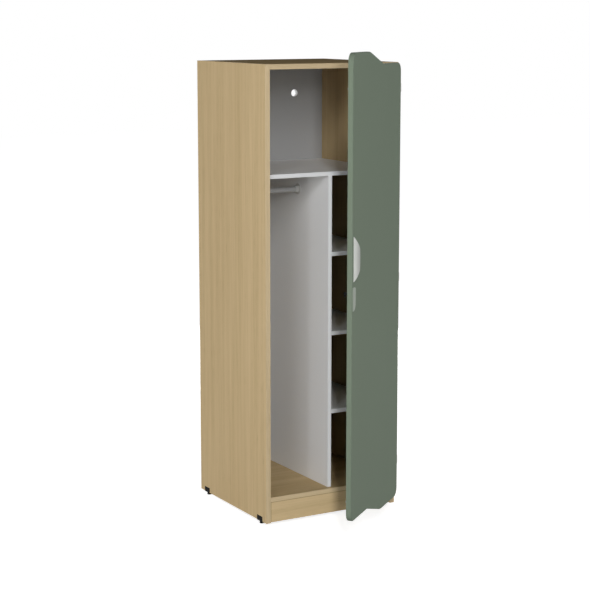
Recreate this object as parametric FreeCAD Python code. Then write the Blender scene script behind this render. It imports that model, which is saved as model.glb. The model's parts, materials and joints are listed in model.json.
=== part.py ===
import FreeCAD, Part
import math
import os

# Single-door wardrobe: oak-faced carcass, white inner boards, one painted door on knuckle hinges.
# X runs across the front, Y from front to back, Z up from the floor. Sizes are in millimetres.

V = FreeCAD.Vector

# Carcass
carcass_width = 600
carcass_depth = 575
side_height = 1800
foot_gap = 12
oak_board = 20
floor_board = 18
white_board = 16
back_board = 18
oak_edging = 2
white_edging = 1
oak_edging_round = 0.8
white_edging_round = 0.4
plinth_height = 86
plinth_board = 18
plinth_set_back = 1
plinth_lift = 3
back_foot_gap = 50
inner_set_back = 20

# Inside
cubby_count = 4
shelf_play = 0.5
shelf_set_back = 22
hat_shelf_underside = 1363
vent_radius = 15
vent_from_right_side = 135
vent_below_top = 121

# Shelf pins
shelf_pin_stub_radius = 2.5
shelf_pin_stub = 8
shelf_pin_head_radius = 4
shelf_pin_head = 9
shelf_pin_from_edge = 50

# Hanging rail
rail_radius = 11
rail_wall = 1.5
rail_from_front = 260
rail_below_shelf = 73
socket_flange_radius = 22
socket_flange = 3
socket_ring_radius = 14
socket_depth = 12
socket_play = 0.2
socket_screw_offset = 17.5

# Door, drawn closed and then swung to its resting angle
door_open_angle = 39.5
door_board = 20
door_gap = 4
door_hinge_edge = 286
door_free_edge = -300
door_low_bottom = 40
door_low_top = 1800
door_step = 50
door_slope_start = -100
door_slope_end = 70
door_corner_radius = 35
door_crest_radius = 100
door_hollow_radius = 40
door_outer_round = 4
door_inner_round = 1.5

# Hinges
hinge_axis_x = 297
hinge_axis_y = -15
hinge_heights = {"lower": 200, "middle": 956, "upper": 1713}
knuckle_radius = 6.5
knuckle_half = 16
knuckle_gap = 0.2
hinge_pin_radius = 2.5
hinge_pin_play = 0.05
hinge_pin_head_radius = 5.5
hinge_pin_head = 1.5
leaf_thickness = 2
leaf_half_height = 30
leaf_screw_offset = 21
fixed_leaf_left = 282
fixed_leaf_right = 298
fixed_web_left = 292
door_leaf_half_width = 7.5
door_web_half_width = 3

# Handle, a half-moon lip that curls from the free edge towards the hinges
handle_height = 1107
handle_half_length = 84
handle_root = -285
handle_reach = 20
handle_wall = 2.5
handle_crown_half = 40
handle_crown_reach = 19.1
handle_shoulder_half = 63
handle_shoulder_reach = 14
handle_tip = 1.5
handle_rim_round = 0.8
handle_post_offset = 42
handle_post_radius = 4.5
handle_post_length = 13
handle_post_skin = 4
handle_screw_radius = 2
handle_screw_head_radius = 4
handle_screw_head = 2.5

# Lock plate on the face of the door
lock_plate_left = -293
lock_plate_right = -266
lock_plate_bottom = 914
lock_plate_top = 1003
lock_plate_thickness = 3
lock_plate_edge_round = 0.7
lock_plate_tip_round = 1
lock_plate_large_round = 25.5
lock_plate_small_round = 9
lock_plate_outer_round = 3

# Lock
lock_x = -273
lock_height = 976
lock_sleeve_radius = 6
lock_sleeve_proud = 1
lock_nut_radius = 9
lock_nut_thickness = 3
lock_barrel_radius = 4
lock_barrel_play = 0.05
keyway_half_width = 0.6
keyway_half_height = 2.6
keyway_depth = 18
cam_front = 12.5
cam_length = 13
cam_thickness = 2.5
cam_half_width = 4
cam_hub_radius = 5.5
cam_hub_gap = 0.5
cam_screw_radius = 2
cam_screw_length = 10
cam_screw_head_radius = 3.5
cam_screw_head = 2

# Strike that the lock's cam turns into
strike_thickness = 1.2
strike_front = 6
strike_back = 28
strike_half_height = 26
slot_front = 10
slot_back = 19
slot_depth = 9
slot_below_lock = 15
slot_above_lock = 8
strike_screw_below_lock = 21
strike_screw_above_lock = 17

# Levelling feet
leveller_length = 45
leveller_height = 20
leveller_drop = 2
leveller_from_edge = 34
leveller_screw_offset = 15
foot_radius = 9.5
foot_pad = 3.2
foot_height = 9.7
foot_chamfer = 0.6
foot_neck_radius = 8.8
foot_stem_radius = 4
foot_stem_top = 30
foot_stem_room = 1

# Buffers
buffer_radius = 4.5
buffer_thickness = 3.5
buffer_from_ends = 80

# Hidden joints between boards
bore_play = 0.05
dowel_radius = 4
dowel_length = 30
dowel_in_side = 12
dowel_in_face = 9
dowel_from_ends = 130
plinth_dowel_inset = 20
cam_disc_radius = 7.5
cam_disc_depth = 12.5
cam_disc_inset = 34
cam_disc_from_ends = 60
cam_bolt_radius = 3.5
cam_bolt_thread_radius = 2.5
cam_bolt_neck_radius = 2
cam_bolt_neck_start = 2

# Countersunk screws: head radius, shank radius, length
hinge_screw = (3.5, 1.75, 22)
socket_screw = (3.2, 1.6, 11)
strike_screw = (2.8, 1.4, 14)
leveller_screw = (3, 1.5, 38)
back_screw = (4, 2, 45)
back_screw_columns = (-220, -80, 80, 220)
divider_screw_inset = 150

# Cross slot of a screw, as shares of the head's radius
cross_arm = 0.55
cross_half_width = 0.14
cross_depth = 0.4

tolerance = 1e-6

left_outer = -carcass_width / 2
right_outer = carcass_width / 2
left_inner = left_outer + oak_board
right_inner = right_outer - oak_board
side_bottom = foot_gap
carcass_top = foot_gap + side_height
top_underside = carcass_top - oak_board
floor_underside = foot_gap + plinth_height
floor_top = floor_underside + floor_board
back_face = carcass_depth - back_board
hat_bottom = foot_gap + hat_shelf_underside
hat_top = hat_bottom + white_board
divider_left = -white_board / 2
divider_right = white_board / 2
cubby_height = (hat_bottom - floor_top - (cubby_count - 1) * white_board) / cubby_count
cubby_pitch = cubby_height + white_board
shelf_bottoms = [floor_top + cubby_height + i * cubby_pitch for i in range(cubby_count - 1)]
rail_height = hat_bottom - rail_below_shelf
door_back = -door_gap
door_face = -door_gap - door_board
door_middle = (door_back + door_face) / 2
sides = (("left_side_panel", left_inner, -1), ("right_side_panel", right_inner, 1))

nodes = {}
bores = {}


def block(x0, x1, y0, y1, z0, z1):
    return Part.makeBox(x1 - x0, y1 - y0, z1 - z0, V(x0, y0, z0))


def rod(base, direction, radius, length):
    return Part.makeCylinder(radius, length, V(*base), V(*direction))


def bore(board, tool):
    bores.setdefault(board, []).append(tool)


def screw(base, direction, head_radius, shank_radius, length, play=0.0):
    """Countersunk screw with its head flush at base; with play it is the hole that the screw sits in."""
    cone = Part.makeCone(head_radius + play, shank_radius + play, head_radius - shank_radius)
    body = cone.fuse(Part.makeCylinder(shank_radius + play, length + play))
    if play == 0:
        arm = head_radius * cross_arm
        half = head_radius * cross_half_width
        deep = head_radius * cross_depth
        body = body.cut([block(-arm, arm, -half, half, 0, deep), block(-half, half, -arm, arm, 0, deep)])
    body = body.removeSplitter()
    body.Placement = FreeCAD.Placement(V(*base), FreeCAD.Rotation(V(0, 0, 1), V(*direction)))
    return body


def screw_hole(boards, place, direction, sizes):
    for board in boards:
        bore(board, screw(place, direction, *sizes, play=bore_play))


def screw_group(places, direction, sizes):
    return Part.makeCompound([screw(place, direction, *sizes) for place in places])


def edges_in_plane(shape, y):
    """The edges that lie wholly in the plane square to Y at y."""
    return [e for e in shape.Edges
            if abs(e.BoundBox.YMin - y) < tolerance and abs(e.BoundBox.YMax - y) < tolerance]


def rounded_outline(corners, y):
    """Closed face in the plane of the door, from (x, z, radius) corners joined by tangent arcs."""
    edges = []
    ends = []
    count = len(corners)
    points = [V(x, y, z) for x, z, radius in corners]
    for i, (x, z, radius) in enumerate(corners):
        here = points[i]
        to_before = (points[i - 1] - here).normalize()
        to_after = (points[(i + 1) % count] - here).normalize()
        half_angle = to_before.getAngle(to_after) / 2
        run = radius / math.tan(half_angle)
        start = here + to_before * run
        end = here + to_after * run
        bisector = (to_before + to_after).normalize()
        middle = here + bisector * (radius / math.sin(half_angle) - radius)
        edges.append(Part.Arc(start, middle, end).toShape())
        ends.append((start, end))
    for i in range(count):
        leave = ends[i][1]
        arrive = ends[(i + 1) % count][0]
        if leave.distanceToPoint(arrive) > tolerance:
            edges.append(Part.LineSegment(leave, arrive).toShape())
    return Part.Face(Part.Wire(Part.__sortEdges__(edges)))


def edging_strip(x0, x1, y, thickness, z0, z1, radius):
    """Strip on the front edge of a board, with its two long front arrises rounded."""
    strip = block(x0, x1, y, y + thickness, z0, z1)
    longest = max(x1 - x0, z1 - z0)
    arrises = [e for e in edges_in_plane(strip, y) if abs(e.Length - longest) < tolerance]
    return strip.makeFillet(radius, arrises)


# Side panels, each notched at the bottom for two levelling feet

leveller_starts = (leveller_from_edge, carcass_depth - leveller_from_edge - leveller_length)
leveller_top = side_bottom + leveller_height


def side_panel(x0, x1):
    panel = block(x0, x1, oak_edging, carcass_depth, side_bottom, carcass_top)
    for start in leveller_starts:
        panel = panel.cut(block(x0, x1, start, start + leveller_length, side_bottom, leveller_top))
    return panel


nodes["left_side_panel"] = side_panel(left_outer, left_inner)
nodes["right_side_panel"] = side_panel(right_inner, right_outer)

# Horizontal oak boards, plinth and back

plinth_back = plinth_set_back + plinth_board
back_bottom = side_bottom + back_foot_gap
vent_x = right_inner - vent_from_right_side
vent_z = top_underside - vent_below_top
nodes["top_panel"] = block(
    left_inner, right_inner, oak_edging, carcass_depth, top_underside, carcass_top)
nodes["floor_panel"] = block(
    left_inner, right_inner, oak_edging, back_face, floor_underside, floor_top)
nodes["plinth_board"] = block(
    left_inner, right_inner, plinth_set_back, plinth_back, side_bottom + plinth_lift, floor_underside)
nodes["back_panel"] = block(
    left_inner, right_inner, back_face, carcass_depth, back_bottom, top_underside)
bore("back_panel", rod((vent_x, back_face, vent_z), (0, 1, 0), vent_radius, back_board))

# White boards inside: hat shelf, divider and the cubby shelves

white_front = inner_set_back + white_edging
shelf_left = divider_right + shelf_play
shelf_right = right_inner - shelf_play
shelf_back = back_face - shelf_play
shelf_front = shelf_set_back + white_edging
nodes["hat_shelf"] = block(left_inner, right_inner, white_front, back_face, hat_bottom, hat_top)
nodes["divider_panel"] = block(divider_left, divider_right, white_front, back_face, floor_top, hat_bottom)
for number, z in enumerate(shelf_bottoms, 1):
    nodes["cubby_shelf_%d" % number] = block(
        shelf_left, shelf_right, shelf_front, shelf_back, z, z + white_board)

# Edging strips on the front edges of the boards

oak_strips = {
    "left_edging": (left_outer, left_inner, side_bottom, carcass_top),
    "right_edging": (right_inner, right_outer, side_bottom, carcass_top),
    "top_edging": (left_inner, right_inner, top_underside, carcass_top),
    "floor_edging": (left_inner, right_inner, floor_underside, floor_top),
}
for name, (x0, x1, z0, z1) in oak_strips.items():
    nodes[name] = edging_strip(x0, x1, 0, oak_edging, z0, z1, oak_edging_round)
white_strips = [
    (left_inner, right_inner, inner_set_back, hat_bottom, hat_top),
    (divider_left, divider_right, inner_set_back, floor_top, hat_bottom),
]
white_strips += [(shelf_left, shelf_right, shelf_set_back, z, z + white_board) for z in shelf_bottoms]
nodes["white_edging"] = Part.makeCompound([
    edging_strip(x0, x1, y, white_edging, z0, z1, white_edging_round)
    for x0, x1, y, z0, z1 in white_strips])

# Shelf pins: a stub in the board and a flat head under each shelf corner

shelf_pins = []


def shelf_pin(board, x, inward, y, z):
    base = (x, y, z)
    stub = rod(base, (-inward, 0, 0), shelf_pin_stub_radius, shelf_pin_stub)
    head = rod(base, (inward, 0, 0), shelf_pin_head_radius, shelf_pin_head)
    shelf_pins.append(stub.fuse(head).removeSplitter())
    hole_radius = shelf_pin_stub_radius + bore_play
    bore(board, rod(base, (-inward, 0, 0), hole_radius, shelf_pin_stub + bore_play))


for z in shelf_bottoms:
    for y in (shelf_front + shelf_pin_from_edge, shelf_back - shelf_pin_from_edge):
        shelf_pin("divider_panel", divider_right, 1, y, z - shelf_pin_head_radius)
        shelf_pin("right_side_panel", right_inner, -1, y, z - shelf_pin_head_radius)
nodes["shelf_pins"] = Part.makeCompound(shelf_pins)

# Hanging rail between the left side and the divider, in two flanged sockets

rail_start = left_inner + socket_flange + socket_play
rail_end = divider_left - socket_flange - socket_play
rail_base = (rail_start, rail_from_front, rail_height)
rail_length = rail_end - rail_start
rail_bore = rod(rail_base, (1, 0, 0), rail_radius - rail_wall, rail_length)
nodes["hanging_rail"] = rod(rail_base, (1, 0, 0), rail_radius, rail_length).cut(rail_bore)
socket_screws = []


def rail_socket(x, inward):
    base = (x, rail_from_front, rail_height)
    mouth = (x + inward * socket_flange, rail_from_front, rail_height)
    flange = rod(base, (inward, 0, 0), socket_flange_radius, socket_flange)
    ring = rod(base, (inward, 0, 0), socket_ring_radius, socket_flange + socket_depth)
    hollow = rod(mouth, (inward, 0, 0), rail_radius + socket_play, socket_depth)
    return flange.fuse(ring).cut(hollow).removeSplitter()


for name, board, x, inward in (
        ("rail_socket_left", "left_side_panel", left_inner, 1),
        ("rail_socket_divider", "divider_panel", divider_left, -1)):
    nodes[name] = rail_socket(x, inward)
    for offset in (-socket_screw_offset, socket_screw_offset):
        place = (x + inward * socket_flange, rail_from_front, rail_height + offset)
        socket_screws.append(screw(place, (-inward, 0, 0), *socket_screw))
        screw_hole((name, board), place, (-inward, 0, 0), socket_screw)
nodes["rail_socket_screws"] = Part.makeCompound(socket_screws)

# Hidden joints of the carcass: cam discs with their bolts, and wooden dowels

cam_discs = []
cam_bolts = []
dowels = []
side_joints = (
    ("top_panel", top_underside, oak_board, carcass_depth),
    ("floor_panel", floor_underside, floor_board, back_face),
    ("hat_shelf", hat_bottom, white_board, back_face),
)


def cam_fitting(board, side, x, outward, y, underside, middle):
    along = (outward, 0, 0)
    disc_x = x - outward * cam_disc_inset
    disc_base = (disc_x, y, underside)
    neck_base = (disc_x + outward * cam_bolt_neck_start, y, middle)
    shank_x = disc_x + outward * (cam_disc_radius + bore_play)
    neck = rod(neck_base, along, cam_bolt_neck_radius, cam_disc_radius)
    shank = rod((shank_x, y, middle), along, cam_bolt_radius, abs(x - shank_x))
    thread = rod((x, y, middle), along, cam_bolt_thread_radius, dowel_in_side)
    cam_bolts.append(neck.fuse([shank, thread]).removeSplitter())
    neck_hole = rod(neck_base, along, cam_bolt_neck_radius + bore_play, cam_disc_radius)
    cam_discs.append(rod(disc_base, (0, 0, 1), cam_disc_radius, cam_disc_depth).cut(neck_hole))
    bore(board, rod(disc_base, (0, 0, 1), cam_disc_radius + bore_play, cam_disc_depth))
    bore(board, rod((disc_x, y, middle), along, cam_bolt_radius + bore_play, cam_disc_inset))
    bore(side, rod((x, y, middle), along, cam_bolt_thread_radius + bore_play, dowel_in_side))


def dowel(first, second, base, direction, depth_in_second):
    """A dowel across the joint at base; direction points into the second board."""
    start = V(*base) - V(*direction) * (dowel_length - depth_in_second)
    dowels.append(rod(start, direction, dowel_radius, dowel_length))
    hole = rod(start, direction, dowel_radius + bore_play, dowel_length)
    bore(first, hole)
    bore(second, hole)


for board, underside, thickness, depth in side_joints:
    middle = underside + thickness / 2
    for side, x, outward in sides:
        for y in (cam_disc_from_ends, depth - cam_disc_from_ends):
            cam_fitting(board, side, x, outward, y, underside, middle)
        for y in (dowel_from_ends, depth - dowel_from_ends):
            dowel(board, side, (x, y, middle), (outward, 0, 0), dowel_in_side)

for y in (dowel_from_ends, back_face - dowel_from_ends):
    dowel("divider_panel", "hat_shelf", (0, y, hat_bottom), (0, 0, 1), dowel_in_face)
    dowel("divider_panel", "floor_panel", (0, y, floor_top), (0, 0, -1), dowel_in_face)

plinth_middle = plinth_set_back + plinth_board / 2
for side, x, outward in sides:
    for z in (side_bottom + plinth_dowel_inset, floor_underside - plinth_dowel_inset):
        dowel("plinth_board", side, (x, plinth_middle, z), (outward, 0, 0), dowel_in_side)
for x in (left_inner / 2, right_inner / 2):
    dowel("plinth_board", "floor_panel", (x, plinth_middle, floor_underside), (0, 0, 1), dowel_in_face)

nodes["cam_discs"] = Part.makeCompound(cam_discs)
nodes["cam_bolts"] = Part.makeCompound(cam_bolts)
nodes["wood_dowels"] = Part.makeCompound(dowels)

# Screws through the back panel into the boards that it closes

floor_row = floor_underside + floor_board / 2
hat_row = hat_bottom + white_board / 2
divider_row = (floor_top + hat_bottom) / 2
divider_rows = (floor_top + divider_screw_inset, divider_row, hat_bottom - divider_screw_inset)
back_screw_places = [(x, carcass_depth, z) for z in (floor_row, hat_row) for x in back_screw_columns]
back_screw_places += [(0, carcass_depth, z) for z in divider_rows]
nodes["back_panel_screws"] = screw_group(back_screw_places, (0, -1, 0), back_screw)
for place in back_screw_places:
    screw_hole(("back_panel", "floor_panel", "hat_shelf", "divider_panel"), place, (0, -1, 0), back_screw)

# Levelling feet: a block let into each side panel, held by two screws, and a foot on a threaded stem

leveller_bottom = side_bottom - leveller_drop
leveller_screw_places = []
corners = {
    "front_left": (left_outer, leveller_starts[0], "left_side_panel"),
    "rear_left": (left_outer, leveller_starts[1], "left_side_panel"),
    "front_right": (right_inner, leveller_starts[0], "right_side_panel"),
    "rear_right": (right_inner, leveller_starts[1], "right_side_panel"),
}


def levelling_foot(x, y):
    pad = rod((x, y, 0), (0, 0, 1), foot_radius, foot_pad)
    pad = pad.makeChamfer(foot_chamfer, [e for e in pad.Edges if e.BoundBox.ZLength < tolerance])
    neck = rod((x, y, foot_pad), (0, 0, 1), foot_neck_radius, foot_height - foot_pad)
    stem = rod((x, y, foot_height), (0, 0, 1), foot_stem_radius, foot_stem_top - foot_height)
    return pad.fuse([neck, stem]).removeSplitter()


for corner, (x0, y0, side) in corners.items():
    x = x0 + oak_board / 2
    y = y0 + leveller_length / 2
    name = "leveller_block_%s" % corner
    nodes[name] = block(x0, x0 + oak_board, y0, y0 + leveller_length, leveller_bottom, leveller_top)
    nodes["foot_%s" % corner] = levelling_foot(x, y)
    stem_hole = foot_stem_top + foot_stem_room - leveller_bottom
    bore(name, rod((x, y, leveller_bottom), (0, 0, 1), foot_stem_radius + bore_play, stem_hole))
    for offset in (-leveller_screw_offset, leveller_screw_offset):
        place = (x, y + offset, leveller_bottom)
        leveller_screw_places.append(place)
        screw_hole((name, side), place, (0, 0, 1), leveller_screw)
nodes["leveller_block_screws"] = screw_group(leveller_screw_places, (0, 0, 1), leveller_screw)

# Door board with its stepped top and bottom edges

low_bottom = foot_gap + door_low_bottom
low_top = foot_gap + door_low_top
high_bottom = low_bottom + door_step
high_top = low_top + door_step
door_outline = [
    (door_free_edge, high_bottom, door_corner_radius),
    (door_slope_start, high_bottom, door_hollow_radius),
    (door_slope_end, low_bottom, door_crest_radius),
    (door_hinge_edge, low_bottom, door_corner_radius),
    (door_hinge_edge, low_top, door_corner_radius),
    (door_slope_end, low_top, door_hollow_radius),
    (door_slope_start, high_top, door_crest_radius),
    (door_free_edge, high_top, door_corner_radius),
]


def door_board_solid():
    board = rounded_outline(door_outline, door_face).extrude(V(0, door_board, 0))
    for y, radius in ((door_face, door_outer_round), (door_back, door_inner_round)):
        board = board.makeFillet(radius, edges_in_plane(board, y))
    return board


nodes["door_panel"] = door_board_solid()

# Knuckle hinges: lower knuckle on the carcass, upper knuckle on the door, one pin each

fixed_screw_x = (fixed_leaf_left + fixed_web_left) / 2
fixed_screw_places = []
door_screw_places = []


def knuckle(z0, z1, hole_radius):
    base = (hinge_axis_x, hinge_axis_y, z0)
    return rod(base, (0, 0, 1), knuckle_radius, z1 - z0), rod(base, (0, 0, 1), hole_radius, z1 - z0)


def fixed_leaf(z):
    low = z - knuckle_half
    high = z - knuckle_gap
    barrel, hole = knuckle(low, high, hinge_pin_radius)
    plate = block(fixed_leaf_left, fixed_leaf_right, -leaf_thickness, 0,
                  z - leaf_half_height, z + leaf_half_height)
    web = block(fixed_web_left, fixed_leaf_right, hinge_axis_y, -leaf_thickness, low, high)
    return plate.fuse([web, barrel]).cut(hole).removeSplitter()


def door_leaf(z):
    low = z + knuckle_gap
    high = z + knuckle_half
    barrel, hole = knuckle(low, high, hinge_pin_radius + hinge_pin_play)
    outer = door_hinge_edge + leaf_thickness
    plate = block(door_hinge_edge, outer, door_middle - door_leaf_half_width,
                  door_middle + door_leaf_half_width, z - leaf_half_height, z + leaf_half_height)
    web = block(outer, hinge_axis_x, hinge_axis_y - door_web_half_width,
                hinge_axis_y + door_web_half_width, low, high)
    return plate.fuse([web, barrel]).cut(hole).removeSplitter()


def hinge_pin(z):
    base = (hinge_axis_x, hinge_axis_y, z - knuckle_half)
    head_base = (hinge_axis_x, hinge_axis_y, z + knuckle_half + knuckle_gap)
    shaft = rod(base, (0, 0, 1), hinge_pin_radius, 2 * knuckle_half + knuckle_gap)
    head = rod(head_base, (0, 0, 1), hinge_pin_head_radius, hinge_pin_head)
    return shaft.fuse(head).removeSplitter()


for place, z in hinge_heights.items():
    fixed_name = "hinge_fixed_leaf_%s" % place
    door_name = "hinge_door_leaf_%s" % place
    nodes[fixed_name] = fixed_leaf(z)
    nodes[door_name] = door_leaf(z)
    nodes["hinge_pin_%s" % place] = hinge_pin(z)
    for offset in (-leaf_screw_offset, leaf_screw_offset):
        fixed = (fixed_screw_x, -leaf_thickness, z + offset)
        moving = (door_hinge_edge + leaf_thickness, door_middle, z + offset)
        fixed_screw_places.append(fixed)
        door_screw_places.append(moving)
        screw_hole((fixed_name, "right_side_panel", "right_edging"), fixed, (0, 1, 0), hinge_screw)
        screw_hole((door_name, "door_panel"), moving, (-1, 0, 0), hinge_screw)
nodes["hinge_carcass_screws"] = screw_group(fixed_screw_places, (0, 1, 0), hinge_screw)
nodes["hinge_door_screws"] = screw_group(door_screw_places, (-1, 0, 0), hinge_screw)

# Handle: a quarter-round lip trimmed to a half moon, with two posts for the screws from inside the door

handle_post_x = handle_root + handle_wall + handle_post_radius
handle_screw_length = door_board + handle_post_length - handle_post_skin
handle_post_heights = (handle_height - handle_post_offset, handle_height + handle_post_offset)


def half_moon():
    """Prism along X, wide enough for the lip: a flat crown and two round shoulders down to blunt tips."""

    def point(up, reach):
        return V(handle_root - handle_wall, door_face - reach, handle_height + up)

    def arc(start, middle, end):
        return Part.Arc(point(*start), point(*middle), point(*end)).toShape()

    def line(start, end):
        return Part.LineSegment(point(*start), point(*end)).toShape()

    def mirrored(up, reach):
        return -up, reach

    crown_end = (handle_crown_half, handle_crown_reach)
    shoulder = (handle_shoulder_half, handle_shoulder_reach)
    tip = (handle_half_length, handle_tip)
    foot = (handle_half_length, 0)
    outline = [
        arc(mirrored(*crown_end), (0, handle_reach), crown_end),
        arc(crown_end, shoulder, tip),
        line(tip, foot),
        line(foot, mirrored(*foot)),
        line(mirrored(*foot), mirrored(*tip)),
        arc(mirrored(*tip), mirrored(*shoulder), mirrored(*crown_end)),
    ]
    return Part.Face(Part.Wire(outline)).extrude(V(handle_wall + handle_reach, 0, 0))


def handle_lip():
    axis = (handle_root + handle_reach, door_face, handle_height - handle_half_length)
    length = 2 * handle_half_length
    moon = half_moon()
    inner = rod(axis, (0, 0, 1), handle_reach - handle_wall, length)
    lip = rod(axis, (0, 0, 1), handle_reach, length).cut(inner).common(moon)
    rim = [e for e in lip.Edges if e.BoundBox.YMin < door_face - handle_wall]
    lip = lip.makeFillet(handle_rim_round, rim)
    within_lip = rod(axis, (0, 0, 1), handle_reach - handle_wall / 2, length).common(moon)
    for z in handle_post_heights:
        post = rod((handle_post_x, door_face, z), (0, -1, 0), handle_post_radius, handle_post_length)
        lip = lip.fuse(post.common(within_lip))
    return lip.removeSplitter()


nodes["door_handle"] = handle_lip()
handle_screws = []
for z in handle_post_heights:
    base = (handle_post_x, door_back, z)
    head = rod(base, (0, 1, 0), handle_screw_head_radius, handle_screw_head)
    shank = rod(base, (0, -1, 0), handle_screw_radius, handle_screw_length)
    handle_screws.append(head.fuse(shank).removeSplitter())
    hole = rod(base, (0, -1, 0), handle_screw_radius + bore_play, handle_screw_length + bore_play)
    bore("door_panel", hole)
    bore("door_handle", hole)
nodes["handle_screws"] = Part.makeCompound(handle_screws)

# Lock: plate on the face, sleeve through the door, nut inside, turning barrel with a cam on a long hub

lock_front = door_face - lock_plate_thickness
lock_base = (lock_x, lock_front, lock_height)
sleeve_end = door_back + lock_nut_thickness + lock_sleeve_proud
sleeve_length = sleeve_end - lock_front
hub_front = sleeve_end + cam_hub_gap
cam_back = cam_front + cam_thickness
plate_outline = [
    (lock_plate_left, lock_plate_bottom, lock_plate_tip_round),
    (lock_plate_right, lock_plate_bottom, lock_plate_large_round),
    (lock_plate_right, lock_plate_top, lock_plate_small_round),
    (lock_plate_left, lock_plate_top, lock_plate_outer_round),
]


def lock_plate():
    plate = rounded_outline(plate_outline, lock_front).extrude(V(0, lock_plate_thickness, 0))
    return plate.makeFillet(lock_plate_edge_round, edges_in_plane(plate, lock_front))


def lock_sleeve():
    hole = rod(lock_base, (0, 1, 0), lock_barrel_radius + lock_barrel_play, sleeve_length)
    return rod(lock_base, (0, 1, 0), lock_sleeve_radius, sleeve_length).cut(hole)


def lock_nut():
    points = []
    for i in range(6):
        angle = math.pi / 6 + i * math.pi / 3
        x = lock_x + lock_nut_radius * math.cos(angle)
        z = lock_height + lock_nut_radius * math.sin(angle)
        points.append(V(x, door_back, z))
    hexagon = Part.Face(Part.makePolygon(points + points[:1])).extrude(V(0, lock_nut_thickness, 0))
    hole_base = (lock_x, door_back, lock_height)
    return hexagon.cut(rod(hole_base, (0, 1, 0), lock_sleeve_radius + bore_play, lock_nut_thickness))


def lock_barrel():
    barrel = rod(lock_base, (0, 1, 0), lock_barrel_radius, cam_front - lock_front)
    keyway = block(lock_x - keyway_half_width, lock_x + keyway_half_width, lock_front,
                   lock_front + keyway_depth, lock_height - keyway_half_height,
                   lock_height + keyway_half_height)
    return barrel.cut(keyway)


def lock_cam():
    base = (lock_x, hub_front, lock_height)
    hub = rod(base, (0, 1, 0), cam_hub_radius, cam_back - hub_front)
    tongue = block(lock_x - cam_half_width, lock_x + cam_half_width, cam_front, cam_back,
                   lock_height - cam_length, lock_height)
    barrel_hole = rod(base, (0, 1, 0), lock_barrel_radius + bore_play, cam_front - hub_front)
    screw_hole_through = rod(base, (0, 1, 0), cam_screw_radius + bore_play, cam_back - hub_front)
    return hub.fuse(tongue).cut([barrel_hole, screw_hole_through]).removeSplitter()


def cam_screw():
    base = (lock_x, cam_back, lock_height)
    head = rod(base, (0, 1, 0), cam_screw_head_radius, cam_screw_head)
    shank = rod(base, (0, -1, 0), cam_screw_radius, cam_screw_length)
    return head.fuse(shank).removeSplitter()


nodes["lock_plate"] = lock_plate()
nodes["lock_sleeve"] = lock_sleeve()
nodes["lock_nut"] = lock_nut()
nodes["lock_barrel"] = lock_barrel()
nodes["lock_cam"] = lock_cam()
nodes["cam_screw"] = cam_screw()
sleeve_hole = rod(lock_base, (0, 1, 0), lock_sleeve_radius + bore_play, sleeve_length)
bore("lock_plate", sleeve_hole)
bore("door_panel", sleeve_hole)
bore("lock_barrel", rod((lock_x, cam_back, lock_height), (0, -1, 0), cam_screw_radius + bore_play,
                        cam_screw_length + bore_play))

# Strike: a slotted plate let into the left side, which the cam turns into

strike = block(left_inner - strike_thickness, left_inner, strike_front, strike_back,
               lock_height - strike_half_height, lock_height + strike_half_height)
slot = block(left_inner - slot_depth, left_inner, slot_front, slot_back,
             lock_height - slot_below_lock, lock_height + slot_above_lock)
slot_middle = (slot_front + slot_back) / 2
strike_screw_places = [(left_inner, slot_middle, lock_height - strike_screw_below_lock),
                       (left_inner, slot_middle, lock_height + strike_screw_above_lock)]
nodes["strike_plate"] = strike.cut(slot)
nodes["strike_screws"] = screw_group(strike_screw_places, (-1, 0, 0), strike_screw)
bore("left_side_panel", strike)
bore("left_side_panel", slot)
for place in strike_screw_places:
    screw_hole(("strike_plate", "left_side_panel"), place, (-1, 0, 0), strike_screw)

# Buffers on the back of the door, which meet the edge of the left side

buffer_x = left_outer + oak_board / 2
nodes["door_buffers"] = Part.makeCompound([
    rod((buffer_x, door_back, z), (0, 1, 0), buffer_radius, buffer_thickness)
    for z in (high_bottom + buffer_from_ends, carcass_top - buffer_from_ends)])

# Every hole is cut, and the door with all that it carries is swung open

for name, tools in bores.items():
    nodes[name] = nodes[name].cut(tools)

door_side = [
    "door_panel", "door_buffers", "door_handle", "handle_screws", "hinge_door_screws",
    "lock_plate", "lock_sleeve", "lock_nut", "lock_barrel", "lock_cam", "cam_screw",
]
door_side += ["hinge_door_leaf_%s" % place for place in hinge_heights]
for name in door_side:
    nodes[name].rotate(V(hinge_axis_x, hinge_axis_y, 0), V(0, 0, 1), door_open_angle)

# The whole is moved so that its box stands centred on the origin

whole = FreeCAD.BoundBox()
for shape in nodes.values():
    whole.add(shape.optimalBoundingBox(False))
shift = V(-whole.Center.x, -whole.Center.y, 0)

os.makedirs("parts", exist_ok=True)
for name, shape in nodes.items():
    shape.translate(shift)
    shape.exportStep("parts/%s.step" % name)

print("nodes", len(nodes))
print("size", round(whole.XLength, 2), round(whole.YLength, 2), round(whole.ZLength, 2))
print("lowest", round(whole.ZMin, 4))
print("shift", round(shift.x, 4), round(shift.y, 4))
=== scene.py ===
import json
import math

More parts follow.
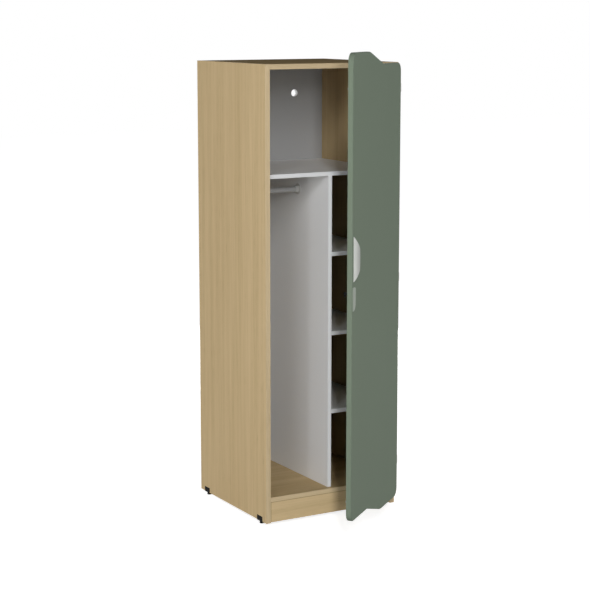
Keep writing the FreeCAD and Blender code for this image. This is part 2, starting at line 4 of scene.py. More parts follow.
import bmesh
import bpy
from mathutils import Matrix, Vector


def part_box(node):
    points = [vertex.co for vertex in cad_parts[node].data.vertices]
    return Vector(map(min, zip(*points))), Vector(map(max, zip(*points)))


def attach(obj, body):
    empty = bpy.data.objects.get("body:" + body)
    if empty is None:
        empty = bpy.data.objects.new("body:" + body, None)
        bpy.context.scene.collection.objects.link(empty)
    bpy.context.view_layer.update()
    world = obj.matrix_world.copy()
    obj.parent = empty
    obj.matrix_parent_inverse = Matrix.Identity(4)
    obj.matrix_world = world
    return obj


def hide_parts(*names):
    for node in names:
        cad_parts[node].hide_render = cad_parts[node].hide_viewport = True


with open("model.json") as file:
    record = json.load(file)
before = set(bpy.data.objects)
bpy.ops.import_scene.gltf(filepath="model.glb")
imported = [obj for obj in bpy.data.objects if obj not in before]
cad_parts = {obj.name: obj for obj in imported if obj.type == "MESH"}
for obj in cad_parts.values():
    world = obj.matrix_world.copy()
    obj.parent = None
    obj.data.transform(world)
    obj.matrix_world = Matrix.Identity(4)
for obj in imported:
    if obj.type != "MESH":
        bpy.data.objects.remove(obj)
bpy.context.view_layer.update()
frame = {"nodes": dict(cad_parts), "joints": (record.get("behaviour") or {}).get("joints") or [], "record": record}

# Single-door wardrobe. Lengths are in metres, colours are linear, and angles are written in degrees.

nodes = frame["nodes"]

# Camera: a little above the wardrobe, to the left of its front. Lens and sensor are in millimetres.
camera_place = (-3.3349, -5.6190, 2.0062)
camera_level = 90.0
camera_turn = 29.758
camera_tilt = 9.682
camera_lens = 101.2
sensor_width = 36.0

# Softboxes: bearing from the front, positive to the right, then height, distance, width, length and power
softboxes = {
    "front_low": (-25.0, 1.80, 5.74, 0.5, 2.6, 82.0),
    "front_high": (-25.0, 3.80, 5.74, 0.5, 2.6, 160.0),
    "left_high": (-46.0, 3.58, 5.39, 1.0, 1.0, 42.0),
    "left_low": (-58.0, 0.70, 5.9, 0.7, 0.7, 38.0),
    "far_left": (-110.0, 1.16, 6.0, 2.2, 2.2, 100.0),
    "right": (50.0, 1.20, 5.9, 2.2, 2.2, 97.0),
    "rear_right": (145.0, 0.9, 4.0, 1.5, 1.5, 130.0),
}
aim_height = 0.95

# Floor: its shine for the camera makes it white, and fades up away from the wardrobe
floor_half = 20.0
floor_colour = (0.6, 0.6, 0.6, 1.0)
floor_shine_near = 0.8
floor_shine_start = 1.5
floor_shine_end = 4.5

# Directions of the wardrobe, and of its door at the resting angle
x_way = Vector((1, 0, 0))
y_way = Vector((0, 1, 0))
z_way = Vector((0, 0, 1))
door_joint = next(j for j in frame["joints"] if j["name"] == "door_swing")
door_angle = math.radians(-door_joint["range_deg"][0])
along_door = Vector((math.cos(door_angle), math.sin(door_angle), 0))
into_door = Vector((-math.sin(door_angle), math.cos(door_angle), 0))


class Wire:
    """One output in a node tree. Arithmetic on it adds Math nodes, and node() adds any other node."""

    def __init__(self, tree, socket=None):
        self.tree = tree
        self.socket = socket

    @staticmethod
    def find(sockets, key):
        """A socket by its number or name, or the first one in use where there is no key."""
        if isinstance(key, int):
            return sockets[key]
        return next((s for s in sockets if s.enabled and key in (None, s.name)), None)

    def node(self, kind, settings=None, inputs=None, output=None):
        made = self.tree.nodes.new(kind)
        for key, value in (settings or {}).items():
            if key == "items":
                while len(made.index_switch_items) < value:
                    made.index_switch_items.new()
            else:
                setattr(made, key, value)
        for key, value in (inputs or {}).items():
            socket = self.find(made.inputs, key)
            for item in value if isinstance(value, list) else [value]:
                if isinstance(item, Wire):
                    self.tree.links.new(item.socket, socket)
                else:
                    socket.default_value = item
        return Wire(self.tree, self.find(made.outputs, output))

    def other(self, output):
        """Another output of the node that this one comes from."""
        return Wire(self.tree, self.find(self.socket.node.outputs, output))

    def math(self, operation, *others):
        values = dict(enumerate((self,) + others))
        return self.node("ShaderNodeMath", {"operation": operation}, values)

    def reflected(self, operation, value):
        return self.node("ShaderNodeMath", {"operation": operation}, {0: value, 1: self})

    def clamped(self):
        return self.node("ShaderNodeClamp", inputs={"Value": self})

    def __add__(self, value):
        return self.math("ADD", value)

    def __radd__(self, value):
        return self.reflected("ADD", value)

    def __sub__(self, value):
        return self.math("SUBTRACT", value)

    def __rsub__(self, value):
        return self.reflected("SUBTRACT", value)

    def __mul__(self, value):
        return self.math("MULTIPLY", value)

    def __rmul__(self, value):
        return self.reflected("MULTIPLY", value)

    def __truediv__(self, value):
        return self.math("DIVIDE", value)

    def __rtruediv__(self, value):
        return self.reflected("DIVIDE", value)


# Building blocks of the finishes


def colour(red, green, blue):
    return (red, green, blue, 1.0)


def shaded(base, share):
    """A colour made darker or paler by a share."""
    return colour(*(share * value for value in base))


def new_finish(name):
    material = bpy.data.materials.new(name)
    material.use_nodes = True
    material.node_tree.nodes.clear()
    return material, Wire(material.node_tree)


def stretched(axis, amount):
    """A scale that draws a pattern out along one axis."""
    return tuple(amount if i == axis else 1.0 for i in range(3))


def object_place(start, location=(0, 0, 0), scale=(1, 1, 1)):
    place = start.node("ShaderNodeTexCoord", output="Object")
    return start.node("ShaderNodeMapping", inputs={"Vector": place, "Location": location, "Scale": scale})


def noise(place, scale, detail=2.0, roughness=0.5, distortion=0.0):
    """Cloudy values about zero, within about half either way."""
    sockets = {"Vector": place, "Scale": scale, "Detail": detail, "Roughness": roughness,
               "Distortion": distortion}
    return place.node("ShaderNodeTexNoise", inputs=sockets, output="Fac") - 0.5


def mixed(first, second, factor):
    sockets = {"Factor": factor, "A": first, "B": second}
    return factor.node("ShaderNodeMix", {"data_type": "RGBA", "clamp_factor": True}, sockets)


def bump(height, distance):
    return height.node("ShaderNodeBump", inputs={"Height": height, "Distance": distance})


def finished(material, start, sockets):
    shader = start.node("ShaderNodeBsdfPrincipled", inputs=sockets)
    start.node("ShaderNodeOutputMaterial", inputs={"Surface": shader})
    return material


# Finishes. Of each pattern, the scale is that of its noise, the weight is its share in the colour's mix,
# which starts at a middle, and the rough is its share in the roughness. A relief is the depth of the bumps.

# Oak: pores open where their noise is above a level, in the rings where the figure is dark
oak_light = colour(0.622, 0.476, 0.273)
oak_dark = colour(0.462, 0.340, 0.181)
oak_pore = colour(0.262, 0.184, 0.089)
oak_gloss = 0.02
oak_roughness = 0.52
oak_relief = 0.00012
oak_middle = 0.45
grain_stretch = 0.022
drift_shares = (1.0, 1.7, 0.6)
oak_cloud_scale = 5.0
oak_cloud_weight = 0.9
figure_scale = 38.0
figure_weight = 1.1
fibre_scale = 190.0
fibre_weight = 0.7
fibre_rough = 0.12
fibre_height = 0.5
pore_scale = 620.0
pore_level = 0.13
pore_gain = 9.0
pore_weight = 0.55
pore_rough = 0.15
ring_level = -0.12
ring_gain = 5.0
# This weight also darkens the plinth's lines of painted shade
seam_and_shade_weight = 0.7

# Melamine: shares of a board's tone in its palest and darkest tints
melamine_pale = (0.975, 0.985, 1.0)
melamine_deep = (0.93, 0.94, 0.955)
melamine_gloss = 0.08
melamine_roughness = 0.46
melamine_middle = 0.5
melamine_cloud_scale = 3.0
melamine_cloud_weight = 0.5
pearl_scale = 1400.0
pearl_weight = 0.4
pearl_rough = 0.1
pearl_relief = 0.00004

# Vent hole of the back: its axis, and how far from the axis the hole's own tone reaches
vent_axis = (0.14325, 0.0, 1.671)
vent_reach = 0.0154
flat_on_back = (1, 0, 1)

# Door paint
sage_dark = colour(0.157, 0.195, 0.146)
sage_light = colour(0.169, 0.210, 0.158)
paint_gloss = 0.02
paint_roughness = 0.5
paint_middle = 0.5
paint_cloud_scale = 4.0
paint_cloud_weight = 0.8
paint_cloud_rough = 0.06
speck_scale = 2200.0
speck_weight = 0.35
peel_scale = 420.0
peel_rough = 0.1
peel_relief = 0.00003

# Metals
metal_shade = 0.86
metal_middle = 0.6
scratch_stretch = 0.03
scratch_scale = 2600.0
scratch_weight = 0.5
scratch_rough = 0.12
scratch_relief = 0.00002
tarnish_scale = 30.0
tarnish_weight = 0.5
tarnish_rough = 0.06

# Plastics and rubber
scuff_shade = 1.35
moulded_middle = 0.4
spark_scale = 1800.0
spark_weight = 0.6
spark_rough = 0.12
scuff_scale = 60.0
scuff_weight = 0.8
scuff_rough = 0.08


def oak(name, grain, offset, seams_and_shade_lines=(), lift=0.0, tint=None, gloss=oak_gloss):
    """Oak veneer with its grain along axis 0, 1 or 2, paler by a lift. An offset moves the pattern, so that boards
    differ. A seam, or a line of painted shade along a joint, is an axis, a place on it and half a width."""
    material, start = new_finish(name)
    drift = tuple(share * offset for share in drift_shares)
    lengthwise = object_place(start, drift, stretched(grain, grain_stretch))
    clouds = noise(lengthwise, oak_cloud_scale)
    figure = noise(lengthwise, figure_scale, detail=3.0, roughness=0.55, distortion=0.6)
    fibre = noise(lengthwise, fibre_scale, detail=3.0, roughness=0.6)
    pores = noise(lengthwise, pore_scale, detail=1.0)
    dark = oak_middle - lift + oak_cloud_weight * clouds + figure_weight * figure + fibre_weight * fibre
    rings = ((figure - ring_level) * ring_gain).clamped()
    pore_mask = ((pores - pore_level) * pore_gain).clamped() * rings
    shade = mixed(oak_light, oak_dark, dark.clamped())
    shade = mixed(shade, oak_pore, pore_weight * pore_mask)
    if tint:
        shade = shade.node("ShaderNodeMix", {"data_type": "RGBA", "blend_type": "MULTIPLY"},
                           {"Factor": 1.0, "A": shade, "B": tint})
    # Seams, and lines of painted shade along the plinth's joints
    for axis, middle, half in seams_and_shade_lines:
        along = start.node("ShaderNodeSeparateXYZ", inputs={"Vector": object_place(start)}, output=axis)
        shade = mixed(shade, oak_pore, seam_and_shade_weight * along.math("COMPARE", middle, half))
    return finished(material, start, {
        "Base Color": shade,
        "Roughness": oak_roughness + fibre_rough * fibre + pore_rough * pore_mask,
        "Specular IOR Level": gloss,
        "Normal": bump(fibre_height * fibre - pore_mask, oak_relief),
    })


def melamine(name, tone, hole_tone=None):
    """Smooth board of one tone. With a hole tone, the wall of the vent is of that tone."""
    material, start = new_finish(name)
    place = object_place(start)
    pearl = noise(place, pearl_scale)
    clouds = noise(place, melamine_cloud_scale, detail=3.0)
    tint = (melamine_middle + melamine_cloud_weight * clouds + pearl_weight * pearl).clamped()
    shade = mixed(shaded(melamine_deep, tone), shaded(melamine_pale, tone), tint)
    if hole_tone:
        from_axis = start.node("ShaderNodeVectorMath", {"operation": "DISTANCE"},
                               {0: object_place(start, scale=flat_on_back), 1: vent_axis}, "Value")
        hole_colour = colour(hole_tone, hole_tone, hole_tone)
        shade = mixed(shade, hole_colour, from_axis.math("LESS_THAN", vent_reach))
    return finished(material, start, {
        "Base Color": shade,
        "Roughness": melamine_roughness + pearl_rough * pearl,
        "Specular IOR Level": melamine_gloss,
        "Normal": bump(pearl, pearl_relief),
    })


def door_paint():
    """Sprayed paint with a faint orange peel."""
    material, start = new_finish("sage_paint")
    place = object_place(start)
    peel = noise(place, peel_scale)
    clouds = noise(place, paint_cloud_scale, detail=3.0)
    speck = noise(place, speck_scale, detail=1.0)
    tint = (paint_middle + paint_cloud_weight * clouds + speck_weight * speck).clamped()
    return finished(material, start, {
        "Base Color": mixed(sage_dark, sage_light, tint),
        "Roughness": paint_roughness + peel_rough * peel + paint_cloud_rough * clouds,
        "Specular IOR Level": paint_gloss,
        "Normal": bump(peel, peel_relief),
    })


def satin_metal(name, base, brush_axis, metallic, roughness, gloss, painted_shade=None):
    """Brushed metal: fine scratches along one axis of the wardrobe, and faint tarnish. A painted shade is a way,
    the places on it where the metal is palest and darkest, and the share of the colour that is left there: along
    that way the colour darkens as painted shade."""
    material, start = new_finish(name)
    brushed = object_place(start, scale=stretched(brush_axis, scratch_stretch))
    scratches = noise(brushed, scratch_scale)
    tarnish = noise(object_place(start), tarnish_scale)
    tint = (metal_middle + scratch_weight * scratches + tarnish_weight * tarnish).clamped()
    shade = mixed(shaded(base, metal_shade), colour(*base), tint)
    # Painted shade: the colour darkens along the way, down to the given share of it
    if painted_shade:
        way, palest, darkest, share = painted_shade
        along = start.node("ShaderNodeVectorMath", {"operation": "DOT_PRODUCT"},
                           {0: object_place(start), 1: way}, "Value")
        shade = mixed(shade, shaded(base, share), (along - palest) / (darkest - palest))
    return finished(material, start, {
        "Base Color": shade,
        "Metallic": metallic,
        "Specular IOR Level": gloss,
        "Roughness": roughness + scratch_rough * scratches + tarnish_rough * tarnish,
        "Normal": bump(scratches, scratch_relief),
    })


def moulded(name, base, roughness, gloss, relief):
    """Moulded plastic or rubber with a fine spark grain and paler scuffs."""
    material, start = new_finish(name)
    place = object_place(start)
    spark = noise(place, spark_scale)
    scuff = noise(place, scuff_scale, detail=3.0)
    tint = (moulded_middle + spark_weight * spark + scuff_weight * scuff).clamped()
    return finished(material, start, {
        "Base Color": mixed(colour(*base), shaded(base, scuff_shade), tint),
        "Roughness": roughness + spark_rough * spark + scuff_rough * scuff,
        "Specular IOR Level": gloss,
        "Normal": bump(spark, relief),
    })


# Boards: the white ones, their edging as a share of their tone, and the grey back with its paler hole
white_tone = 0.80
edging_share = 0.94
back_tone = 0.375
vent_tone = 0.9
sage = door_paint()
white = melamine("white_melamine", white_tone)
white_edge = melamine("white_edging", edging_share * white_tone)
grey_back = melamine("grey_back_board", back_tone, vent_tone)

# Fittings: the handle's colour darkens towards its outer rim, painted shade standing in for the shading of its
# curved lip
along_x, along_y, along_z = 0, 1, 2
handle_rim_shade_share = 0.52
handle_reach = [corner.co.dot(-into_door) for corner in nodes["door_handle"].data.vertices]
handle_painted_shade = (-into_door, min(handle_reach), max(handle_reach), handle_rim_shade_share)
handle_satin = satin_metal("handle_satin", (0.59, 0.60, 0.57), along_z,
                           metallic=0.1, roughness=0.42, gloss=0.25, painted_shade=handle_painted_shade)
lock_nickel = satin_metal("lock_nickel", (0.30, 0.335, 0.285), along_z,
                          metallic=0.1, roughness=0.42, gloss=0.15)
hinge_nickel = satin_metal("hinge_nickel", (0.66, 0.66, 0.64), along_z,
                           metallic=0.4, roughness=0.38, gloss=0.4)
rail_satin = satin_metal("rail_satin", (0.42, 0.42, 0.42), along_x,
                         metallic=0.2, roughness=0.42, gloss=0.3)
zinc = satin_metal("zinc", (0.58, 0.58, 0.57), along_y,
                   metallic=0.8, roughness=0.36, gloss=0.5)
blackened = satin_metal("dark_oxide", (0.012, 0.012, 0.012), along_y,
                        metallic=0.2, roughness=0.55, gloss=0.02)
socket_plastic = moulded("socket_plastic", (0.49, 0.49, 0.48), roughness=0.5, gloss=0.05, relief=0.00002)
black = moulded("spark_black", (0.009, 0.009, 0.009), roughness=0.55, gloss=0.03, relief=0.00003)
rubber = moulded("grey_rubber", (0.45, 0.45, 0.43), roughness=0.6, gloss=0.3, relief=0.00001)
beech = oak("raw_beech", along_x, offset=9.0, lift=0.2)

# Oak boards and edgings: a fine seam where the edging meets a board, and around the plinth its joints, widened
# into dark lines of painted shade from the gaps
seam_half = 0.00025
joint_shade_half = 0.0025
edging_tint = colour(0.97, 1.0, 1.09)
plinth_low, plinth_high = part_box("plinth_board")
# The plinth's joint lines are painted shade, wider than the joints, standing in for the shadow in the gaps around
# the plinth
plinth_joint_shade = (("X", plinth_low.x, joint_shade_half), ("X", plinth_high.x, joint_shade_half),
                 ("Z", plinth_high.z, joint_shade_half))
seam = (("Y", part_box("left_edging")[1].y, seam_half),)

finishes = {
    "back_panel": grey_back,
    "rail_socket_left": socket_plastic,
    "rail_socket_divider": socket_plastic,
    "left_side_panel": oak("oak_left_side", along_z, offset=0.0, seams_and_shade_lines=seam),
    # The right side is darker by its lift, painted shade standing in for the shade on its inner face
    "right_side_panel": oak("oak_right_side", along_z, offset=3.1, seams_and_shade_lines=seam, lift=-0.15),
    # The top is darker by its lift, painted shade of a face that little light reaches
    "top_panel": oak("oak_top", along_x, offset=5.3, seams_and_shade_lines=seam, lift=-0.3, gloss=0.0),
    # The floor board is darker by its lift, painted shade standing in for the shade inside the wardrobe
    "floor_panel": oak("oak_floor", along_x, offset=7.9, seams_and_shade_lines=seam, lift=-0.3),
    "plinth_board": oak("oak_plinth", along_x, offset=2.2, seams_and_shade_lines=plinth_joint_shade, lift=0.25),
    "left_edging": oak("oak_left_edging", along_z, offset=1.3, seams_and_shade_lines=seam, lift=0.3, tint=edging_tint),
    "right_edging": oak("oak_right_edging", along_z, offset=4.4, seams_and_shade_lines=seam, lift=0.3, tint=edging_tint),
    "top_edging": oak("oak_top_edging", along_x, offset=6.1, seams_and_shade_lines=seam, lift=0.4, tint=edging_tint,
                      gloss=0.0),
    "floor_edging": oak("oak_floor_edging", along_x, offset=8.7, seams_and_shade_lines=seam, lift=0.3, tint=edging_tint),
}
finish_of_slot = {
    "white_board": white,
    "white_edging": white_edge,
    "door_paint": sage,
    "handle_metal": handle_satin,
    "lock_metal": lock_nickel,
    "rail_metal": rail_satin,
    "hinge_metal": hinge_nickel,
    "fastener_steel": zinc,
    "blackened_steel": blackened,
    "black_plastic": black,
    "buffer_rubber": rubber,
    "dowel_wood": beech,
}
for part in frame["record"]["subparts"]:
    name = part["node"]
    finish = finishes.get(name) or finish_of_slot[part["material_slot"]]
    nodes[name].data.materials.clear()
    nodes[name].data.materials.append(finish)


# Turned pieces, made by Geometry Nodes on points taken from the solids that they replace

full_turn = 2 * math.pi
facets = 28
merge_gap = 1e-6
crease_angle = math.radians(35)
twist_seed = 7

# Screws: shares of the head's radius, and the head's rounding as shares of its radius and rise
shank_share = 0.5
tip_share = 1.4
cross_arm_share = 0.55
cross_width_share = 0.14
cross_depth_share = 0.4
head_rounding = ((1.0, 0.35), (0.9, 0.72), (0.6, 0.95))

# Heights of the screws' heads: nearly flat, and round on the handle's and the cam's screws
flat_screw_rise = 0.00015
handle_screw_rise = 0.0025
cam_screw_rise = 0.0020

# Levelling feet: grooves and crests of the thread are shares of its pitch
foot_pad_height = 0.0032
foot_pad_bevel = 0.0006
foot_neck_radius = 0.0088
foot_neck_top = 0.0097
foot_stem_radius = 0.0040
foot_thread_depth = 0.0004
foot_thread_turns = 14
foot_groove_share = 0.4
foot_crest_share = 0.9
foot_grip_depth = 0.0006
foot_grip_count = 14

# Shelf pins and cam discs
pin_head_length = 0.0090
pin_stub_radius = 0.0025
pin_round = 0.0012
pin_round_share = 0.3
disc_bevel = 0.0005
disc_cross_share = 0.8

# Buffers: the dome goes in and down from the rim by shares of the bevel, and ends in a flat
buffer_bevel = 0.0010
buffer_dome = ((0.0, 1.5), (0.3, 0.7), (1.0, 0.2))
buffer_flat_share = 0.4


def new_tree(name, sizes):
    """An empty tree with inputs for points, a material and named sizes. Gives the tree, its first wire and
    the sizes' wires."""
    tree = bpy.data.node_groups.new(name, "GeometryNodeTree")
    tree.interface.new_socket("Geometry", in_out="OUTPUT", socket_type="NodeSocketGeometry")
    tree.interface.new_socket("Geometry", in_out="INPUT", socket_type="NodeSocketGeometry")
    tree.interface.new_socket("Material", in_out="INPUT", socket_type="NodeSocketMaterial")
    for size in sizes:
        tree.interface.new_socket(size, in_out="INPUT", socket_type="NodeSocketFloat")
    start = Wire(tree).node("NodeGroupInput", output="Geometry")
    return [tree, start] + [start.other(size) for size in sizes]


def joined(start, x, y, z):
    return start.node("ShaderNodeCombineXYZ", inputs={"X": x, "Y": y, "Z": z})


def turned(start, profile, grooves=0):
    """A shape turned about Z from rows of radius, height and groove depth, from its lowest point upwards."""
    rows = len(profile)
    sheet = start.node("GeometryNodeMeshGrid", inputs={"Vertices X": facets + 1, "Vertices Y": rows})
    index = start.node("GeometryNodeInputIndex")
    row = start.node("FunctionNodeIntegerMath", {"operation": "MODULO"}, {0: index, 1: rows})
    column = start.node("FunctionNodeIntegerMath", {"operation": "DIVIDE"}, {0: index, 1: rows})
    corners = {}
    for i, (radius, height, depth) in enumerate(profile):
        corners[str(i)] = joined(start, radius, depth, height)
    corner = start.node("GeometryNodeIndexSwitch", {"data_type": "VECTOR", "items": rows},
                        {"Index": row, **corners})
    radius = start.node("ShaderNodeSeparateXYZ", inputs={"Vector": corner}, output="X")
    turn = column * (full_turn / facets)
    reach = radius - radius.other("Y") * (0.5 - 0.5 * (turn * grooves).math("COSINE"))
    place = joined(start, reach * turn.math("COSINE"), reach * turn.math("SINE"), radius.other("Z"))
    shape = start.node("GeometryNodeSetPosition", inputs={"Geometry": sheet, "Position": place})
    return start.node("GeometryNodeMergeByDistance", inputs={"Geometry": shape, "Distance": merge_gap})


def crossed(shape, radius, top):
    """Cuts a cross recess into a head of this radius, from its top down."""
    arm = 2 * cross_arm_share * radius
    width = 2 * cross_width_share * radius
    depth = 2 * cross_depth_share * radius
    bars = []
    for size in (joined(shape, arm, width, depth), joined(shape, width, arm, depth)):
        bar = shape.node("GeometryNodeMeshCube", inputs={"Size": size})
        bars.append(shape.node("GeometryNodeTransform",
                               inputs={"Geometry": bar, "Translation": joined(shape, 0, 0, top)}))
    return shape.node("GeometryNodeMeshBoolean", {"operation": "DIFFERENCE", "solver": "EXACT"},
                      {"Mesh 1": shape, "Mesh 2": bars})


def set_on_points(start, shape):
    """Ends a tree: the shape on each point, its Z along the point's way out, turned by chance."""
    way = start.node("GeometryNodeInputNamedAttribute", {"data_type": "FLOAT_VECTOR"}, {"Name": "way_out"})
    upright = start.node("FunctionNodeAlignRotationToVector", {"axis": "Z"}, {"Vector": way})
    chance = start.node("FunctionNodeRandomValue", {"data_type": "FLOAT"},
                        {"Max": full_turn, "Seed": twist_seed})
    turn = start.node("FunctionNodeEulerToRotation", inputs={"Euler": joined(start, 0, 0, chance)})
    twisted = start.node("FunctionNodeRotateRotation", {"rotation_space": "LOCAL"},
                         {"Rotation": upright, "Rotate By": turn})
    copies = start.node("GeometryNodeInstanceOnPoints",
                        inputs={"Points": start, "Instance": shape, "Rotation": twisted})
    plain = start.node("GeometryNodeRealizeInstances", inputs={"Geometry": copies})
    bare = start.node("GeometryNodeRemoveAttribute", inputs={"Geometry": plain, "Name": "way_out"})
    dressed = start.node("GeometryNodeSetMaterial",
                         inputs={"Geometry": bare, "Material": start.other("Material")})
    start.node("NodeGroupOutput", inputs={"Geometry": dressed})


def screw_tree():
    tree, start, head, rise, sink, length = new_tree(
        "cross_screw", ["Head Radius", "Head Rise", "Head Sink", "Length"])
    shank = shank_share * head
    profile = [
        (0, -1 * length, 0), (shank, tip_share * head - length, 0), (shank, -1 * sink, 0), (head, 0, 0),
    ]
    for out, up in head_rounding:
        profile.append((out * head, up * rise, 0))
    profile.append((0, rise, 0))
    set_on_points(start, crossed(turned(start, profile), head, rise))
    return tree


def foot_tree():
    tree, start, pad, top = new_tree("ribbed_foot", ["Pad Radius", "Stem Top"])
    edge = pad - foot_pad_bevel
    profile = [
        (0, 0, 0), (edge, 0, foot_grip_depth), (pad, foot_pad_bevel, foot_grip_depth),
        (pad, foot_pad_height - foot_pad_bevel, foot_grip_depth), (edge, foot_pad_height, foot_grip_depth),
        (foot_neck_radius, foot_pad_height, 0), (foot_neck_radius, foot_neck_top, 0),
        (foot_stem_radius, foot_neck_top, 0),
    ]
    pitch = (top - foot_neck_top) / foot_thread_turns
    for i in range(foot_thread_turns):
        low = foot_neck_top + i * pitch
        profile.append((foot_stem_radius - foot_thread_depth, low + foot_groove_share * pitch, 0))
        profile.append((foot_stem_radius, low + foot_crest_share * pitch, 0))
    profile.append((foot_stem_radius - foot_thread_depth, top, 0))
    profile.append((0, top, 0))
    set_on_points(start, turned(start, profile, foot_grip_count))
    return tree


def pin_tree():
    tree, start, head, length, stub = new_tree("shelf_pin", ["Head Radius", "Head Length", "Stub Length"])
    part_round = pin_round_share * pin_round
    profile = [
        (0, -1 * stub, 0), (pin_stub_radius, -1 * stub, 0), (pin_stub_radius, 0, 0), (head, 0, 0),
        (head, length - pin_round, 0), (head - part_round, length - part_round, 0),
        (head - pin_round, length, 0), (0, length, 0),
    ]
    set_on_points(start, turned(start, profile))
    return tree


def disc_tree():
    tree, start, radius, depth = new_tree("cam_disc", ["Radius", "Depth"])
    profile = [
        (0, -1 * depth, 0), (radius, -1 * depth, 0), (radius, -disc_bevel, 0),
        (radius - disc_bevel, 0, 0), (0, 0, 0),
    ]
    set_on_points(start, crossed(turned(start, profile), disc_cross_share * radius, 0))
    return tree


def buffer_tree():
    tree, start, radius, height = new_tree("domed_buffer", ["Radius", "Height"])
    profile = [(0, 0, 0), (radius, 0, 0)]
    for inward, down in buffer_dome:
        profile.append((radius - inward * buffer_bevel, height - down * buffer_bevel, 0))
    profile.append((buffer_flat_share * radius, height, 0))
    profile.append((0, height, 0))
    set_on_points(start, turned(start, profile))
    return tree


def solids(name):
    """The separate solids of a CAD node, each as a list of its corners."""
    shape = bmesh.new()
    shape.from_mesh(nodes[name].data)
    bmesh.ops.remove_doubles(shape, verts=shape.verts, dist=merge_gap)
    seen = set()
    groups = []
    for first in shape.verts:
        if first in seen:
            continue
        seen.add(first)
        group = [first]
        for corner in group:
            for edge in corner.link_edges:
                other = edge.other_vert(corner)
                if other not in seen:
                    seen.add(other)
                    group.append(other)
        groups.append([corner.co.copy() for corner in group])
    shape.free()
    return groups


def spans(corners, way):
    """Along a way and two ways across it: the axis, and the least and greatest reach of the corners."""
    side = way.orthogonal().normalized()
    reaches = []
    for axis in (way, side, way.cross(side)):
        along = [corner.dot(axis) for corner in corners]
        reaches.append((axis, min(along), max(along)))
    return reaches


def seats(name, way_out, sizes):
    """A mesh of the points on which a node's pieces are grown, and the values of their tree's inputs."""
    places = []
    ways = []
    for corners in solids(name):
        middle = sum(corners, Vector()) / len(corners)
        way = way_out(middle) if callable(way_out) else way_out
        (along, low, high), *across = spans(corners, way)
        radius = (across[0][2] - across[0][1]) / 2
        seat, values = sizes(radius, high - low)
        place = along * (high - seat)
        for axis, least, most in across:
            place = place + axis * ((least + most) / 2)
        places.append(place)
        ways.append(way)
    mesh = bpy.data.meshes.new(name + "_points")
    mesh.from_pydata(places, [], [])
    way_data = mesh.attributes.new("way_out", "FLOAT_VECTOR", "POINT").data
    for item, way in zip(way_data, ways):
        item.vector = way
    return mesh, values


def grown(tree, name, body, finish, way_out, sizes):
    """Turned pieces in place of a node's solids, which are all alike. sizes tells, from a solid's radius and
    extent, how far below its outer end a piece is seated, and the values of the tree's inputs."""
    points, values = seats(name, way_out, sizes)
    piece = bpy.data.objects.new(name + "_turned", points)
    bpy.context.scene.collection.objects.link(piece)
    growth = piece.modifiers.new("growth", "NODES")
    growth.node_group = tree
    values["Material"] = finish
    for socket in tree.interface.items_tree:
        if socket.in_out == "INPUT" and socket.name in values:
            growth[socket.identifier] = values[socket.name]
    evaluated = piece.evaluated_get(bpy.context.evaluated_depsgraph_get())
    plain = bpy.data.meshes.new_from_object(evaluated)
    piece.modifiers.clear()
    piece.data = plain
    plain.materials.clear()
    plain.materials.append(finish)
    plain.polygons.foreach_set("material_index", [0] * len(plain.polygons))
    plain.shade_smooth()
    plain.set_sharp_from_angle(angle=crease_angle)
    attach(piece, body)
    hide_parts(name)


rail_low, rail_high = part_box("hanging_rail")
rail_middle = (rail_low.x + rail_high.x) / 2
shelf_low, shelf_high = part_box("cubby_shelf_1")
shelf_middle = (shelf_low.x + shelf_high.x) / 2


def off_rail_ends(place):
    return x_way if place.x < rail_middle else -x_way


def off_cubby_walls(place):
    return x_way if place.x < shelf_middle else -x_way


def flat_head(radius, extent):
    return flat_screw_rise, {"Head Radius": radius, "Head Rise": flat_screw_rise,
                             "Head Sink": (1 - shank_share) * radius, "Length": extent - flat_screw_rise}


def round_head(rise):
    return lambda radius, extent: (rise, {"Head Radius": radius, "Head Rise": rise, "Head Sink": 0.0,
                                          "Length": extent - rise})


def pin_sizes(radius, extent):
    return pin_head_length, {"Head Radius": radius, "Head Length": pin_head_length,
                             "Stub Length": extent - pin_head_length}


def disc_sizes(radius, extent):
    return 0.0, {"Radius": radius, "Depth": extent}


def buffer_sizes(radius, extent):
    return extent, {"Radius": radius, "Height": extent}


def foot_sizes(radius, extent):
    return extent, {"Pad Radius": radius, "Stem Top": extent}


cross_screw = screw_tree()
flat_screws = {
    "hinge_carcass_screws": ("carcass", -y_way),
    "hinge_door_screws": ("door", along_door),
    "back_panel_screws": ("carcass", y_way),
    "rail_socket_screws": ("carcass", off_rail_ends),
    "strike_screws": ("carcass", x_way),
    "leveller_block_screws": ("carcass", -z_way),
}
for name, (body, way_out) in flat_screws.items():
    grown(cross_screw, name, body, zinc, way_out, flat_head)
grown(cross_screw, "handle_screws", "door", zinc, into_door, round_head(handle_screw_rise))
grown(cross_screw, "cam_screw", "lock", blackened, into_door, round_head(cam_screw_rise))
grown(pin_tree(), "shelf_pins", "carcass", zinc, off_cubby_walls, pin_sizes)
grown(disc_tree(), "cam_discs", "carcass", zinc, -z_way, disc_sizes)
grown(buffer_tree(), "door_buffers", "door", rubber, into_door, buffer_sizes)
ribbed_foot = foot_tree()
for corner in ("front_left", "front_right", "rear_left", "rear_right"):
    grown(ribbed_foot, "foot_" + corner, corner + "_foot", black, z_way, foot_sizes)


# Floor, backdrop, softboxes and camera


def seen_directly(start):
    """One for rays from the camera, mirrors and glass, and nought for light that falls on the wardrobe."""
    path = start.node("ShaderNodeLightPath", output="Is Camera Ray")
    return (path + path.other("Is Glossy Ray") + path.other("Is Transmission Ray")).clamped()


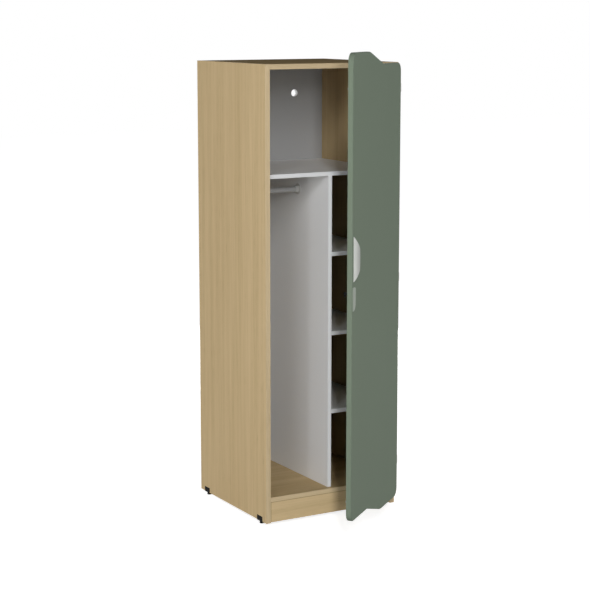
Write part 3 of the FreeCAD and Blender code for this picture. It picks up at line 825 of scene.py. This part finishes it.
def floor():
    mesh = bpy.data.meshes.new("floor")
    corners = [(-floor_half, -floor_half, 0), (floor_half, -floor_half, 0),
               (floor_half, floor_half, 0), (-floor_half, floor_half, 0)]
    mesh.from_pydata(corners, [], [(0, 1, 2, 3)])
    sheet = bpy.data.objects.new("floor", mesh)
    bpy.context.scene.collection.objects.link(sheet)
    material, start = new_finish("pale_floor")
    away = start.node("ShaderNodeVectorMath", {"operation": "LENGTH"}, {0: object_place(start)}, "Value")
    spread = ((away - floor_shine_start) / (floor_shine_end - floor_shine_start)).clamped()
    shine = seen_directly(start) * (floor_shine_near + (1 - floor_shine_near) * spread)
    matt = start.node("ShaderNodeBsdfDiffuse", inputs={"Color": floor_colour})
    glow = start.node("ShaderNodeEmission", inputs={"Strength": shine})
    both = start.node("ShaderNodeAddShader", inputs={0: matt, 1: glow})
    start.node("ShaderNodeOutputMaterial", inputs={"Surface": both})
    mesh.materials.append(material)


def backdrop():
    """A white world that is seen, and that lights nothing."""
    world = bpy.data.worlds.new("studio")
    world.use_nodes = True
    world.node_tree.nodes.clear()
    start = Wire(world.node_tree)
    back = start.node("ShaderNodeBackground",
                      inputs={"Color": colour(1, 1, 1), "Strength": seen_directly(start)})
    start.node("ShaderNodeOutputWorld", inputs={"Surface": back})
    bpy.context.scene.world = world


def softbox(name, bearing, height, distance, width, length, power):
    lamp = bpy.data.lights.new(name, "AREA")
    lamp.shape = "RECTANGLE"
    lamp.size = width
    lamp.size_y = length
    lamp.energy = power
    lamp_object = bpy.data.objects.new(name, lamp)
    turn = math.radians(bearing)
    place = Vector((distance * math.sin(turn), -distance * math.cos(turn), height))
    aim = Vector((0, 0, aim_height)) - place
    lamp_object.location = place
    lamp_object.rotation_euler = aim.to_track_quat("-Z", "Y").to_euler()
    lamp_object.visible_camera = False
    lamp_object.visible_glossy = False
    bpy.context.scene.collection.objects.link(lamp_object)


def camera():
    lens = bpy.data.cameras.new("camera")
    lens.lens = camera_lens
    lens.sensor_width = sensor_width
    holder = bpy.data.objects.new("camera", lens)
    holder.location = camera_place
    holder.rotation_euler = (math.radians(camera_level - camera_tilt), 0, math.radians(-camera_turn))
    bpy.context.scene.collection.objects.link(holder)
    bpy.context.scene.camera = holder


floor()
backdrop()
for name, settings in softboxes.items():
    softbox(name, *settings)
camera()
bpy.context.scene.view_settings.view_transform = "Standard"

bpy.context.view_layer.update()
